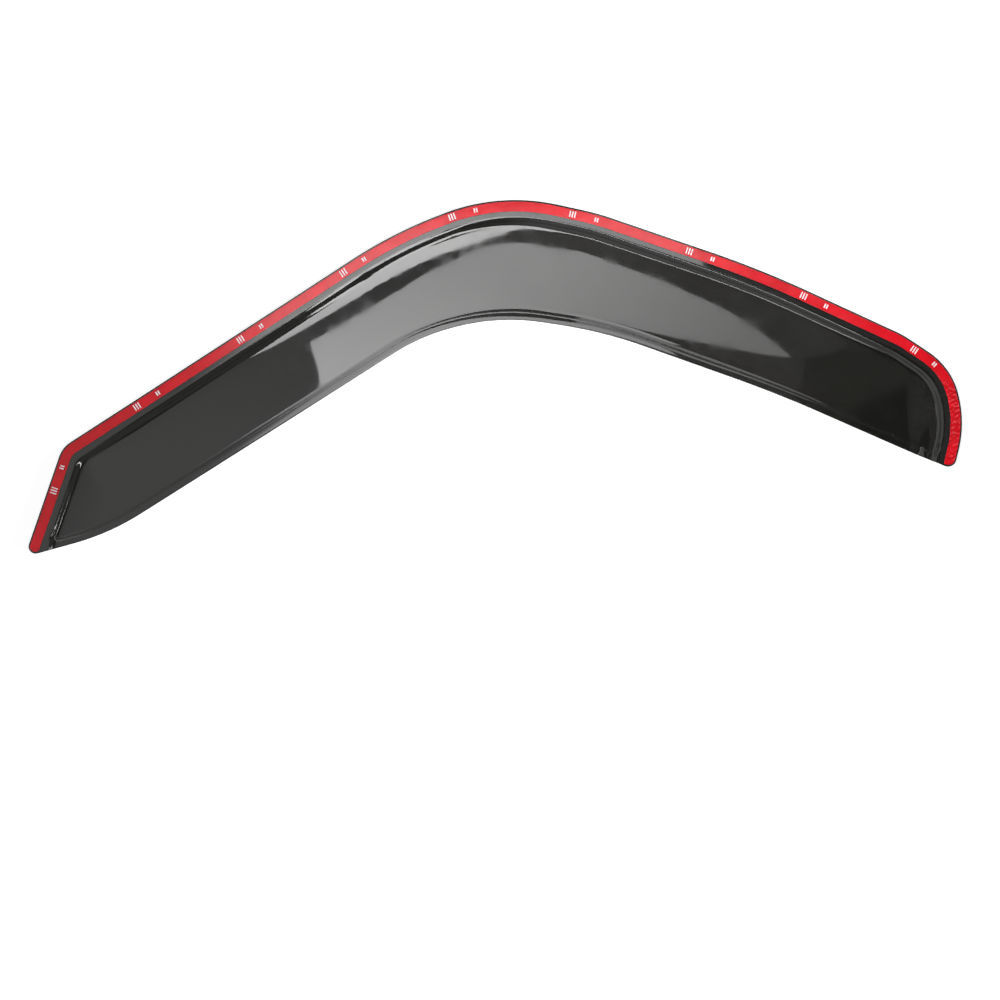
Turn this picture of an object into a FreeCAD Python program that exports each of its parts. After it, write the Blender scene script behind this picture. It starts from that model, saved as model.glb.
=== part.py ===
"""Stick-on window rain deflector of smoked acrylic, for the right-hand front door of a truck.

The part stands as it is fitted: +X points to the rear of the vehicle, +Y outboard, +Z up.
The origin is on the tape's bonding face, on its centre line, at the crown of the bend between pillar
and roof.
All sizes are millimetres, all angles degrees.
"""
import FreeCAD, Part
import math
import os

Vector = FreeCAD.Vector

# Sheet, tape and liner
SHEET_THICKNESS = 2.8
TAPE_THICKNESS = 1.1
TAPE_WIDTH = 10.0
TAPE_INSET = 1.2
LINER_THICKNESS = 0.12

# Section, from the flange edge inwards
FLANGE_WIDTH = 17.5
STEP_RUN = 5.0
STEP_DEPTH = 6.5
FRONT_STEP_DEPTH = 3.6
FILLET_LENGTH = 2.6
PANEL_SLOPE = 0.20
PANEL_RADIUS = 330.0
PANEL_HANDLE = 12.0
STEP_LINE_RADIUS = 20.0

# The step grows from shallow to full between these shares of the front end and of the pillar
STEP_GROWS_FROM = 0.5
STEP_GROWS_TO = 0.35

# Lip along the free lower edge. It runs up the step at both ends, to this far inside the flange's inner line
LIP_WIDTH = 7.0
LIP_RISE = 0.9
GROOVE_WIDTH = 1.4
GROOVE_DEPTH = 0.7
LIP_END_INSET = 0.8

# Door curvature that the flange follows, along and up the car
ALONG_RADIUS = 8000.0
UPRIGHT_RADIUS = 6000.0

# Flange edge, walked from the front tip up and back to the rear end. Every bend turns to the right.
FRONT_HEADING = 89.5
FRONT_END_LENGTH = 111.0
PILLAR_LENGTH = 377.0
CROWN_FRONT_LENGTH = 110.5
CROWN_REAR_LENGTH = 97.5
ROOF_FRONT_LENGTH = 165.0
ROOF_REAR_LENGTH = 152.0
REAR_SHOULDER_LENGTH = 55.5
REAR_END_LENGTH = 55.0
HEEL_LENGTH = 46.5

FRONT_CORNER_TURN, FRONT_CORNER_RADIUS = 38.3, 27.0
PILLAR_TURN, PILLAR_RADIUS = 11.9, 440.0
CROWN_TURN, CROWN_RADIUS = 33.5, 190.0
ROOF_TURN, ROOF_RADIUS = 6.8, 260.0
ROOF_SAG_TURN, ROOF_SAG_RADIUS = 6.0, 1000.0
SHOULDER_TURN, SHOULDER_RADIUS = 9.2, 120.0
REAR_CORNER_TURN, REAR_CORNER_RADIUS = 42.4, 68.0
HEEL_TURN, HEEL_RADIUS = 27.3, 112.0

FRONT_TIP_RADIUS = 7.0
REAR_TIP_RADIUS = 8.0

# Lower edge: each corner lies square across the band from a flange corner, and a lead along the run
BAND_AT_FRONT, LEAD_AT_FRONT, LOW_FRONT_RADIUS = 93.5, -8.5, 238.0
BAND_AT_PILLAR, LEAD_AT_PILLAR, LOW_PILLAR_RADIUS = 101.8, -9.3, 200.0
BAND_AT_CROWN, LEAD_AT_CROWN, LOW_CROWN_RADIUS = 116.0, 25.0, 210.0
BAND_AT_ROOF, LEAD_AT_ROOF, LOW_ROOF_RADIUS = 105.5, 42.0, 434.0
BAND_AT_SAG, LEAD_AT_SAG, LOW_SAG_RADIUS = 101.3, 66.0, 1240.0

# The pressed blank runs past the trimmed outline by these margins
BLANK_EDGE_MARGIN = 6.0
BLANK_FRONT_RUN_OUT = 50.0
BLANK_REAR_RUN_OUT = 45.0
BLANK_LOWER_MARGIN = 22.0
BLANK_CORNER_MARGIN = 6.5
BLANK_HEEL_MARGIN = 30.0
BLANK_END_REACH = 70.0
FRONT_RAKE = 13.6
REAR_CORNER_RAKE = 22.7
HEEL_RAKE = 46.0
REAR_TIP_RAKE = 60.0

# Spacing of the blank's control sections, on bends and on straight runs
BEND_SPACING = 12.0
RUN_SPACING = 36.0

MIN_BEND_SECTIONS = 4

# First and last control point of the five pieces of a section
SECTION_PIECES = [(0, 1), (1, 3), (3, 4), (4, 6), (6, 9)]

# Cutters reach through the whole part along Y, and the dish cutter ends well below the part
CUTTER_DEPTH = 400.0
DISH_CUTTER_DROP = 200.0
MIN_CORNER_RADIUS = 1.0


def direction(heading):
    """Unit vector in the side view, as an (x, z) pair."""
    return math.cos(math.radians(heading)), math.sin(math.radians(heading))


def step_from(point, heading, length):
    along = direction(heading)
    return point[0] + along[0] * length, point[1] + along[1] * length


def heading_of(start, end):
    return math.degrees(math.atan2(end[1] - start[1], end[0] - start[0]))


def distance(start, end):
    return math.hypot(end[0] - start[0], end[1] - start[1])


def flange_runs():
    """Runs of the flange edge as (length, turn at the run's end, corner radius)."""
    return [
        (FRONT_END_LENGTH, FRONT_CORNER_TURN, FRONT_CORNER_RADIUS),
        (PILLAR_LENGTH, PILLAR_TURN, PILLAR_RADIUS),
        (CROWN_FRONT_LENGTH, CROWN_TURN, CROWN_RADIUS),
        (CROWN_REAR_LENGTH, ROOF_TURN, ROOF_RADIUS),
        (ROOF_FRONT_LENGTH, ROOF_SAG_TURN, ROOF_SAG_RADIUS),
        (ROOF_REAR_LENGTH, SHOULDER_TURN, SHOULDER_RADIUS),
        (REAR_SHOULDER_LENGTH, REAR_CORNER_TURN, REAR_CORNER_RADIUS),
        (REAR_END_LENGTH, HEEL_TURN, HEEL_RADIUS),
        (HEEL_LENGTH, 0.0, REAR_TIP_RADIUS),
    ]


def walk_flange():
    """Corners of the flange edge from front tip to rear tip, and the heading of each run.

    The origin is where the tape's centre line crosses the middle of the crown's bend.
    """
    corners = [(0.0, 0.0)]
    headings = []
    heading = FRONT_HEADING
    for length, turn, radius in flange_runs():
        corners.append(step_from(corners[-1], heading, length))
        headings.append(heading)
        heading -= turn
    crown = corners[3]
    across = (headings[2] + headings[3]) / 2 - 90
    arc_gap = CROWN_RADIUS * (1 / math.cos(math.radians(CROWN_TURN / 2)) - 1)
    origin = step_from(crown, across, arc_gap + TAPE_INSET + TAPE_WIDTH / 2)
    return [(x - origin[0], z - origin[1]) for x, z in corners], headings


CORNERS, HEADINGS = walk_flange()
RADII = [radius for length, turn, radius in flange_runs()[:-1]]


def lower_corners():
    """Corners of the lower edge from rear to front, with their radii."""
    hung = [
        (5, BAND_AT_SAG, LEAD_AT_SAG, LOW_SAG_RADIUS),
        (4, BAND_AT_ROOF, LEAD_AT_ROOF, LOW_ROOF_RADIUS),
        (3, BAND_AT_CROWN, LEAD_AT_CROWN, LOW_CROWN_RADIUS),
        (2, BAND_AT_PILLAR, LEAD_AT_PILLAR, LOW_PILLAR_RADIUS),
        (1, BAND_AT_FRONT, LEAD_AT_FRONT, LOW_FRONT_RADIUS),
    ]
    points = []
    for corner, band, lead, radius in hung:
        ahead = step_from(CORNERS[corner], HEADINGS[corner], lead)
        points.append((step_from(ahead, HEADINGS[corner] - 90, band), radius))
    return points


def offset_corners(points, inset):
    """Corners of an open chain moved to its right by inset. The ends move square to their runs."""
    moved = [step_from(points[0], heading_of(points[0], points[1]) - 90, inset)]
    for before, corner, after in zip(points, points[1:], points[2:]):
        first, second = heading_of(before, corner), heading_of(corner, after)
        turn = (second - first + 180) % 360 - 180
        reach = inset / math.cos(math.radians(turn / 2))
        moved.append(step_from(corner, first + turn / 2 - 90, reach))
    moved.append(step_from(points[-1], heading_of(points[-2], points[-1]) - 90, inset))
    return moved


def corner_arc(before, corner, after, radius):
    """Tangent points, middle and centre of the arc that rounds a corner."""
    first, second = heading_of(before, corner), heading_of(corner, after)
    turn = (second - first + 180) % 360 - 180
    setback = radius * math.tan(math.radians(abs(turn) / 2))
    start = step_from(corner, first, -setback)
    end = step_from(corner, second, setback)
    side = math.copysign(90, turn)
    centre = step_from(start, first + side, radius)
    middle = step_from(centre, first + turn / 2 - side, radius)
    return start, middle, end, centre, first - side, turn


def at(point, y=0.0):
    return Vector(point[0], y, point[1])


def rounded_edges(points, radii):
    """Lines and arcs along an open chain whose inner corners are rounded."""
    edges = []
    last = points[0]
    for index, radius in enumerate(radii):
        start, middle, end = corner_arc(*points[index:index + 3], radius)[:3]
        edges.append(Part.LineSegment(at(last), at(start)).toShape())
        edges.append(Part.Arc(at(start), at(middle), at(end)).toShape())
        last = end
    edges.append(Part.LineSegment(at(last), at(points[-1])).toShape())
    return edges


def closed_chain(points, radii):
    """Wire round a closed chain with every corner rounded. It starts midway along the first run."""
    start = between(points[0], points[1], 0.5)
    around = [start] + points[1:] + [points[0], start]
    return Part.Wire(rounded_edges(around, radii[1:] + [radii[0]]))


def prism(wire):
    """Cutter of the wire's shape, through everything along Y."""
    face = Part.Face(wire)
    face.translate(Vector(0, -CUTTER_DEPTH / 2, 0))
    return face.extrude(Vector(0, CUTTER_DEPTH, 0))


def outline_chain():
    """Corners and radii of the trimmed outline: the flange edge, then the lower edge back to the front."""
    lower = lower_corners()
    points = CORNERS + [point for point, radius in lower]
    radii = [FRONT_TIP_RADIUS] + RADII + [REAR_TIP_RADIUS] + [radius for point, radius in lower]
    return points, radii


def inset_outline(inset):
    """The trimmed outline moved inwards, corner by corner."""
    points, radii = outline_chain()
    looped = [points[-1]] + points + [points[0]]
    moved = offset_corners(looped, inset)[1:-1]
    inner = []
    for index, radius in enumerate(radii):
        before, corner, after = looped[index:index + 3]
        turn = heading_of(corner, after) - heading_of(before, corner)
        convex = (turn + 180) % 360 - 180 < 0
        inner.append(max(radius - inset, MIN_CORNER_RADIUS) if convex else radius + inset)
    return closed_chain(moved, inner)


def flange_chain(inset):
    """The flange edge moved inwards, run on past both ends of the trimmed part, with its radii."""
    front = step_from(CORNERS[0], HEADINGS[0], -BLANK_FRONT_RUN_OUT)
    rear = step_from(CORNERS[-1], HEADINGS[-1], BLANK_REAR_RUN_OUT)
    points = offset_corners([front] + CORNERS[1:-1] + [rear], inset)
    return points, [max(radius - inset, STEP_LINE_RADIUS) for radius in RADII]


def guide_stations(lengths, corner_lengths):
    """Points below the lower edge that the blank's sections end on, one for each control section.

    They lie on one smooth curve that passes a reach below each flange corner.
    """
    reaches = [
        (BAND_AT_FRONT + BLANK_LOWER_MARGIN, -FRONT_RAKE),
        (BAND_AT_PILLAR + BLANK_LOWER_MARGIN, 0.0),
        (BAND_AT_CROWN + BLANK_LOWER_MARGIN, 0.0),
        (BAND_AT_ROOF + BLANK_LOWER_MARGIN, 0.0),
        (BAND_AT_SAG + BLANK_LOWER_MARGIN, 0.0),
        (BAND_AT_SAG + BLANK_LOWER_MARGIN, 0.0),
        (REAR_END_LENGTH + HEEL_LENGTH + BLANK_CORNER_MARGIN, REAR_CORNER_RAKE),
        (HEEL_LENGTH + BLANK_HEEL_MARGIN, HEEL_RAKE),
    ]
    edge = flange_chain(0)[0]
    points = [step_from(edge[0], HEADINGS[0] - 90, BLANK_END_REACH)]
    for index, (reach, rake) in enumerate(reaches):
        across = (HEADINGS[index] + HEADINGS[index + 1]) / 2 - 90 + rake
        points.append(step_from(CORNERS[index + 1], across, reach))
    for end in (CORNERS[-1], edge[-1]):
        points.append(step_from(end, HEADINGS[-1] - 90 + REAR_TIP_RAKE, BLANK_END_REACH))
    curve = Part.BSplineCurve()
    curve.interpolate(Points=[at(point) for point in points], Parameters=corner_lengths)
    values = [curve.value(length) for length in lengths]
    return [(value.x, value.z) for value in values]


def station_counts():
    """How many control sections each run and each corner of the flange edge gets."""
    points, radii = flange_chain(0)
    arcs = [corner_arc(*points[index:index + 3], radius) for index, radius in enumerate(radii)]
    starts = [points[0]] + [arc[2] for arc in arcs]
    ends = [arc[0] for arc in arcs] + [points[-1]]
    runs = [max(1, round(distance(start, end) / RUN_SPACING)) for start, end in zip(starts, ends)]
    bends = [max(MIN_BEND_SECTIONS, round(math.radians(abs(arc[5])) * radius / BEND_SPACING))
             for arc, radius in zip(arcs, radii)]
    return runs, bends


RUN_COUNTS, BEND_COUNTS = station_counts()


def between(start, end, share):
    return start[0] + (end[0] - start[0]) * share, start[1] + (end[1] - start[1]) * share


def rail(points, radii):
    """One point for each control section, along a rounded chain."""
    stations = []
    last = points[0]
    for index, radius in enumerate(radii):
        start, middle, end, centre, first, turn = corner_arc(*points[index:index + 3], radius)
        for step in range(RUN_COUNTS[index]):
            stations.append(between(last, start, step / RUN_COUNTS[index]))
        for step in range(BEND_COUNTS[index]):
            stations.append(step_from(centre, first + turn * step / BEND_COUNTS[index], radius))
        last = end
    for step in range(RUN_COUNTS[-1] + 1):
        stations.append(between(last, points[-1], step / RUN_COUNTS[-1]))
    return stations


def station_lengths(stations):
    """Distance of each control section along the flange edge, from the front end of the blank."""
    lengths = [0.0]
    for start, end in zip(stations, stations[1:]):
        lengths.append(lengths[-1] + distance(start, end))
    return lengths


def corner_lengths(lengths):
    """The same distance at the start, at the middle of each bend, at the rear tip and at the end."""
    marks = [0.0]
    station = 0
    for run, bend in zip(RUN_COUNTS, BEND_COUNTS):
        marks.append((lengths[station + run] + lengths[station + run + bend]) / 2)
        station += run + bend
    return marks + [lengths[-1] - BLANK_REAR_RUN_OUT, lengths[-1]]


def step_depth(length):
    """Step depth at a distance along the edge: shallow along the front end, full up the pillar."""
    begins = BLANK_FRONT_RUN_OUT + FRONT_END_LENGTH * STEP_GROWS_FROM
    finishes = BLANK_FRONT_RUN_OUT + FRONT_END_LENGTH + PILLAR_LENGTH * STEP_GROWS_TO
    share = min(max((length - begins) / (finishes - begins), 0.0), 1.0)
    ease = share * share * (3 - 2 * share)
    return FRONT_STEP_DEPTH + (STEP_DEPTH - FRONT_STEP_DEPTH) * ease


def door_curve(point):
    """How far the door's face falls inboard at a point of the side view."""
    return -point[0] ** 2 / (2 * ALONG_RADIUS) - point[1] ** 2 / (2 * UPRIGHT_RADIUS)


def control_net():
    """Control points of the pressed sheet's inner face, one section for each station.

    A section's points are the flange line, the lower fillet, the wall, the upper fillet and the panel.
    """
    top = FLANGE_WIDTH + STEP_RUN
    share = FILLET_LENGTH / math.hypot(STEP_RUN, STEP_DEPTH)
    profile = [
        (-BLANK_EDGE_MARGIN, 0.0),
        (FLANGE_WIDTH - FILLET_LENGTH, 0.0),
        (FLANGE_WIDTH, 0.0),
        (FLANGE_WIDTH + STEP_RUN * share, share),
        (top - STEP_RUN * share, 1 - share),
        (top, 1.0),
        (top + FILLET_LENGTH, 1.0),
    ]
    rails = [rail(*flange_chain(inset)) for inset, rise in profile]
    lengths = station_lengths(rail(*flange_chain(0)))
    guide = guide_stations(lengths, corner_lengths(lengths))
    net = []
    for station, length in enumerate(lengths):
        depth = step_depth(length)
        section = []
        for line, (inset, rise) in zip(rails, profile):
            past_top = max(inset - top, 0.0) * PANEL_SLOPE
            section.append(sheet_point(line[station], depth * rise + past_top))
        section += panel_section(rails[-2][station], rails[-1][station], guide[station], depth)
        net.append(section)
    return net


def sheet_point(point, rise):
    """Point of the sheet's inner face that stands a rise outboard of the flange."""
    return at(point, TAPE_THICKNESS + rise + door_curve(point))


def panel_section(before, start, end, depth):
    """Last three control points of a section: an arched panel from the step to the guide."""
    square = heading_of(before, start)
    span = distance(start, end)
    handle = step_from(start, square, min(span / 3, PANEL_HANDLE))
    lean = between(end, start, 1 / 3)
    length = distance(start, handle) + distance(handle, lean) + distance(lean, end)
    first = depth + PANEL_SLOPE * FILLET_LENGTH
    last = first + PANEL_SLOPE * length - length ** 2 / (2 * PANEL_RADIUS)
    end_slope = PANEL_SLOPE - length / PANEL_RADIUS
    return [
        sheet_point(handle, first + PANEL_SLOPE * distance(start, handle)),
        sheet_point(lean, last - end_slope * distance(lean, end)),
        sheet_point(end, last),
    ]


NET = control_net()


def net_normal(station, row):
    """Outboard normal of the control net at one of its points."""
    stations, rows = len(NET) - 1, len(NET[0]) - 1
    along = NET[min(station + 1, stations)][row] - NET[max(station - 1, 0)][row]
    across = NET[station][min(row + 1, rows)] - NET[station][max(row - 1, 0)]
    normal = along.cross(across)
    normal.normalize()
    return normal if normal.y > 0 else normal * -1


NORMALS = [[net_normal(station, row) for row in range(len(NET[0]))] for station in range(len(NET))]


def skin(offset):
    """Surfaces at an offset outboard of the sheet's inner face: flange, fillet, wall, fillet, panel."""
    poles = [[point + normal * offset for point, normal in zip(points, normals)]
             for points, normals in zip(NET, NORMALS)]
    spans = len(poles) - 3
    along_mults = [4] + [1] * (spans - 1) + [4]
    along_knots = [float(value) for value in range(spans + 1)]
    surfaces = []
    for first, last in SECTION_PIECES:
        degree = last - first
        rows = [section[first:last + 1] for section in poles]
        surface = Part.BSplineSurface()
        surface.buildFromPolesMultsKnots(rows, along_mults, [degree + 1] * 2, along_knots, [0.0, 1.0],
                                         False, False, 3, degree)
        surfaces.append(surface)
    return surfaces


def ruled(first, second):
    return Part.makeRuledSurface(first.toShape(), second.toShape())


def slab(low, high):
    """Solid between two offsets of the sheet's inner face."""
    inner, outer = skin(low), skin(high)
    faces = []
    for near, far in zip(inner, outer):
        first_u, last_u = near.bounds()[:2]
        faces += [near.toShape(), far.toShape()]
        faces += [ruled(near.uIso(value), far.uIso(value)) for value in (first_u, last_u)]
    faces.append(ruled(inner[0].vIso(0.0), outer[0].vIso(0.0)))
    faces.append(ruled(inner[-1].vIso(1.0), outer[-1].vIso(1.0)))
    shell = Part.Shell(faces)
    shell.sewShape()
    solid = Part.Solid(shell)
    if solid.Volume < 0:
        solid.reverse()
    return solid


def band_wire(outer, inner):
    """Closed wire of the strip between two insets of the flange edge."""
    near, near_radii = flange_chain(outer)
    far, far_radii = flange_chain(inner)
    edges = rounded_edges(near, near_radii) + rounded_edges(far, far_radii)
    edges.append(Part.LineSegment(at(near[0]), at(far[0])).toShape())
    edges.append(Part.LineSegment(at(near[-1]), at(far[-1])).toShape())
    return Part.Wire(Part.__sortEdges__(edges))


def dish_wire(inset):
    """Closed wire of the region inside an inset of the flange edge, down past the lower edge."""
    near, near_radii = flange_chain(inset)
    low = CORNERS[0][1] - DISH_CUTTER_DROP
    edges = rounded_edges(near, near_radii)
    path = [near[-1], (near[-1][0], low), (near[0][0], low), near[0]]
    for start, end in zip(path, path[1:]):
        edges.append(Part.LineSegment(at(start), at(end)).toShape())
    return Part.Wire(Part.__sortEdges__(edges))


def lower_strip(near, far):
    """Cutter for the strip between two distances from the lower edge, from flange to flange."""
    ring = prism(inset_outline(near)).cut(prism(inset_outline(far)))
    return ring.common(prism(dish_wire(FLANGE_WIDTH + LIP_END_INSET)))


def make_visor_shell():
    """The pressed sheet, trimmed to its outline, with the lip and groove along its lower edge."""
    trim = prism(inset_outline(0.0))
    shell = slab(0.0, SHEET_THICKNESS).common(trim)
    lip = slab(-LIP_RISE, SHEET_THICKNESS / 2).common(lower_strip(0.0, LIP_WIDTH))
    groove = slab(-LIP_RISE, GROOVE_DEPTH).common(lower_strip(LIP_WIDTH, LIP_WIDTH + GROOVE_WIDTH))
    return shell.fuse(lip).cut(groove)


def tape_cutter():
    """Cutter of the tape's strip, which keeps its inset from both ends too."""
    strip = prism(band_wire(TAPE_INSET, TAPE_INSET + TAPE_WIDTH))
    return strip.common(prism(inset_outline(TAPE_INSET)))


def make_foam_tape():
    return slab(-TAPE_THICKNESS, 0.0).common(tape_cutter())


def make_release_liner():
    return slab(-TAPE_THICKNESS - LINER_THICKNESS, -TAPE_THICKNESS).common(tape_cutter())


def main():
    os.makedirs("parts", exist_ok=True)
    makers = {
        "visor_shell": make_visor_shell,
        "foam_tape": make_foam_tape,
        "release_liner": make_release_liner,
    }
    for name, maker in makers.items():
        shape = maker()
        shape.exportStep(os.path.join("parts", name + ".step"))
        box = shape.BoundBox
        print(name, "solids", len(shape.Solids), "valid", shape.isValid(),
              "volume %.0f" % shape.Volume,
              "box %.1f %.1f %.1f" % (box.XLength, box.YLength, box.ZLength))


main()
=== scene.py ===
# %% [markdown]
# # A window rain deflector in smoked acrylic
#
# This lesson dresses a finished CAD model in Blender. The part is one pressed and trimmed sheet of smoked
# acrylic with a strip of foam tape on its flange. The red film on the tape is peeled off on the day it is
# fitted. The CAD frame gives the size and the place of everything, so the first step loads it and keeps its
# outer box, which later places the paper and the floor.

# %% Load the frame
from math import atan2, comb, copysign, cos, degrees, hypot, pi, radians, sin, tan
import bpy
import numpy as np
from numpy.linalg import norm, solve
from mathutils import Matrix, Vector
from mathutils.bvhtree import BVHTree
from mathutils.geometry import delaunay_2d_cdt
from mathutils.interpolate import poly_3d_calc


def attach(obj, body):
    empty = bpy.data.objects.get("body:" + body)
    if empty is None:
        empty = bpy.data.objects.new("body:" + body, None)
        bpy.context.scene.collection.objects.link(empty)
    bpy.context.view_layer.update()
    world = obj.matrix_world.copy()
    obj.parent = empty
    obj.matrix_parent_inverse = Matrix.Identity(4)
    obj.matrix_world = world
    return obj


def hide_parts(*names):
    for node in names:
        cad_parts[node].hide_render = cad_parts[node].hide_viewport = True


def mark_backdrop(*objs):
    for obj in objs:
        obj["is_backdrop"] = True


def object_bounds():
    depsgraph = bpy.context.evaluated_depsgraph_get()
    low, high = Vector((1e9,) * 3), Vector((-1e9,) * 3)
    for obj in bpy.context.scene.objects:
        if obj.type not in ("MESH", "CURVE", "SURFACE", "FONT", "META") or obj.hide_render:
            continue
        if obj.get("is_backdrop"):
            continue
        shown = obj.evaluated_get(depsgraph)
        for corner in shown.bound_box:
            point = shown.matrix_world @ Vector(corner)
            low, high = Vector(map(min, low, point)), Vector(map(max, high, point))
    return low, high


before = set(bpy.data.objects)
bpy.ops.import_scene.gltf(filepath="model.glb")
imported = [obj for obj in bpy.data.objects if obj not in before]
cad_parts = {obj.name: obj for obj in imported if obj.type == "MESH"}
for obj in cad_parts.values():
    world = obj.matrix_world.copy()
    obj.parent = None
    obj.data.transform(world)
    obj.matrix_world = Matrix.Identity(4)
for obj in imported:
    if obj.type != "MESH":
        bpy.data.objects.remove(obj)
CAD_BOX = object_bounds()
MM = 0.001
print("frame nodes", sorted(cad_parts), "box", [[round(v, 4) for v in corner] for corner in CAD_BOX])

# %% [markdown]
# ## Camera
#
# The picture looks square at the inner side of the deflector, which is rolled by 18 degrees from the way it
# is fitted. The object could be turned to suit, or the camera. Here the camera is, so that the part stays in
# the frame's own axes. A long lens from three metres keeps the lines as parallel as they are in the picture.
# The camera comes first, because the studio's reflections are placed from it.

# %% Camera
ROLL = 18.0
VIEW_CENTRE = Vector((87.4, 0.0, -268.6)) * MM
VIEW_WIDTH = 963.5 * MM
CAMERA_DISTANCE = 3.0
SENSOR = 36.0

ACROSS = Vector((cos(radians(ROLL)), 0, sin(radians(ROLL))))
UPWARD = Vector((-sin(radians(ROLL)), 0, cos(radians(ROLL))))
TOWARDS = Vector((0, -1, 0))


def add_object(name, data):
    """An object of the given data, linked into the scene."""
    thing = bpy.data.objects.new(name, data)
    bpy.context.scene.collection.objects.link(thing)
    return thing


lens = bpy.data.cameras.new("photo_camera")
lens.sensor_width = SENSOR
lens.lens = SENSOR * CAMERA_DISTANCE / VIEW_WIDTH
camera = add_object("photo_camera", lens)
turn = Matrix((ACROSS, UPWARD, TOWARDS)).transposed()
camera.matrix_world = Matrix.Translation(VIEW_CENTRE + TOWARDS * CAMERA_DISTANCE) @ turn.to_4x4()
bpy.context.scene.camera = camera
print("lens", round(lens.lens, 1), "mm")

# %% [markdown]
# ## The outline, walked like a path
#
# Seen from the side the part has two long edges. The flange edge runs from the front tip up the pillar,
# round the crown and back along the roof to the rear end. The lower edge comes back under the band. They
# could be traced as long lists of points, but both are straight runs joined by arcs, as on the real cutting
# jig. So they are written as a walk: go so far, turn so much, with so large an arc. Points are (x, z) pairs
# in millimetres until a mesh is made.

# %% Sizes of the outline
FRONT_HEADING = 89.5
FLANGE_RUNS = [
    (111.0, 38.3, 27.0),      # front end, front corner
    (377.0, 11.9, 440.0),     # pillar
    (110.5, 33.5, 190.0),     # crown
    (97.5, 6.8, 260.0),       # roof begins
    (165.0, 6.0, 1000.0),     # roof, front half
    (152.0, 9.2, 120.0),      # roof, rear half
    (55.5, 42.4, 68.0),       # rear shoulder and corner
    (55.0, 27.3, 112.0),      # rear end
    (46.5, 0.0, 0.0),         # heel, down to the rear tip
]
FRONT_TIP_RADIUS, REAR_TIP_RADIUS = 7.0, 8.0
CROWN_CORNER = 3
TAPE_INSET, TAPE_WIDTH = 1.2, 10.0

# Lower edge from rear to front: the flange corner above, the band, the lead along the run, the radius
LOWER_CORNERS = [
    (5, 101.3, 66.0, 1240.0),
    (4, 105.5, 42.0, 434.0),
    (3, 116.0, 25.0, 210.0),
    (2, 101.8, -9.3, 200.0),
    (1, 93.5, -8.5, 238.0),
]


# %% Walk the outline
def direction(heading):
    return np.array([cos(radians(heading)), sin(radians(heading))])


def heading_of(start, end):
    return degrees(atan2(end[1] - start[1], end[0] - start[0]))


def turn_at(before, corner, after):
    return (heading_of(corner, after) - heading_of(before, corner) + 180) % 360 - 180


def walk_flange():
    """Corners and headings of the flange edge. The tape's centre line at the crown is the origin."""
    corners, headings, heading = [np.zeros(2)], [], FRONT_HEADING
    for length, bend, radius in FLANGE_RUNS:
        corners.append(corners[-1] + direction(heading) * length)
        headings.append(heading)
        heading -= bend
    bend, radius = FLANGE_RUNS[CROWN_CORNER - 1][1:]
    across = (headings[CROWN_CORNER - 1] + headings[CROWN_CORNER]) / 2 - 90
    gap = radius * (1 / cos(radians(bend / 2)) - 1)
    origin = corners[CROWN_CORNER] + direction(across) * (gap + TAPE_INSET + TAPE_WIDTH / 2)
    return [corner - origin for corner in corners], headings


CORNERS, HEADINGS = walk_flange()
FLANGE_RADII = [radius for length, bend, radius in FLANGE_RUNS[:-1]]
LOWER = [CORNERS[corner] + direction(HEADINGS[corner]) * lead + direction(HEADINGS[corner] - 90) * band
         for corner, band, lead, radius in LOWER_CORNERS]
LOWER_RADII = [radius for corner, band, lead, radius in LOWER_CORNERS]
print("flange edge", round(sum(run[0] for run in FLANGE_RUNS)), "mm from tip to tip along its runs")

# %% [markdown]
# ## Chains of runs and arcs
#
# Everything on the part keeps a fixed distance from one of the two edges: the tape, the step, the lip. So
# three helpers do most of the work. One moves a chain inwards, one puts points along it with the same count
# on each run whatever the inset, and one measures how far any point lies from it.

# %% Move a chain and round it
def moved_chain(points, inset):
    """The chain moved to its right. Its ends move square to their runs."""
    moved = [points[0] + direction(heading_of(points[0], points[1]) - 90) * inset]
    for before, corner, after in zip(points, points[1:], points[2:]):
        bend = turn_at(before, corner, after)
        reach = inset / cos(radians(bend / 2))
        moved.append(corner + direction(heading_of(before, corner) + bend / 2 - 90) * reach)
    moved.append(points[-1] + direction(heading_of(points[-2], points[-1]) - 90) * inset)
    return moved


def corner_arc(before, corner, after, radius):
    """Start, end, centre, first angle and turn of the arc that rounds a corner."""
    first, bend = heading_of(before, corner), turn_at(before, corner, after)
    setback = radius * tan(radians(abs(bend) / 2))
    side = copysign(90, bend)
    start = corner - direction(first) * setback
    end = corner + direction(first + bend) * setback
    return start, end, start + direction(first + side) * radius, first - side, bend


def chain_pieces(points, radii):
    """The chain as straight pieces and arcs, in order."""
    pieces, last = [], points[0]
    for index, radius in enumerate(radii):
        start, end, centre, first, bend = corner_arc(*points[index:index + 3], radius)
        pieces += [("run", last, start), ("arc", centre, radius, first, bend)]
        last = end
    return pieces + [("run", last, points[-1])]


# %% Points along a chain
def piece_counts(points, radii, spacing, fewest=8):
    """How many steps each piece gets, so that rings of any inset line up."""
    counts = []
    for piece in chain_pieces(points, radii):
        if piece[0] == "run":
            counts.append(max(1, round(norm(piece[2] - piece[1]) / spacing)))
        else:
            counts.append(max(fewest, round(radians(abs(piece[4])) * piece[2] / spacing)))
    return counts


def chain_points(points, radii, counts):
    """Points along a rounded chain, so many steps to each piece."""
    places = []
    for piece, count in zip(chain_pieces(points, radii), counts):
        shares = np.arange(count) / count
        if piece[0] == "run":
            places += [piece[1] + (piece[2] - piece[1]) * share for share in shares]
        else:
            places += [piece[1] + direction(piece[3] + piece[4] * share) * piece[2] for share in shares]
    return np.array(places + [points[-1]])


# %% Distance from a chain
FAR_OFF = 1e6
SLACK = 1e-6


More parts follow.
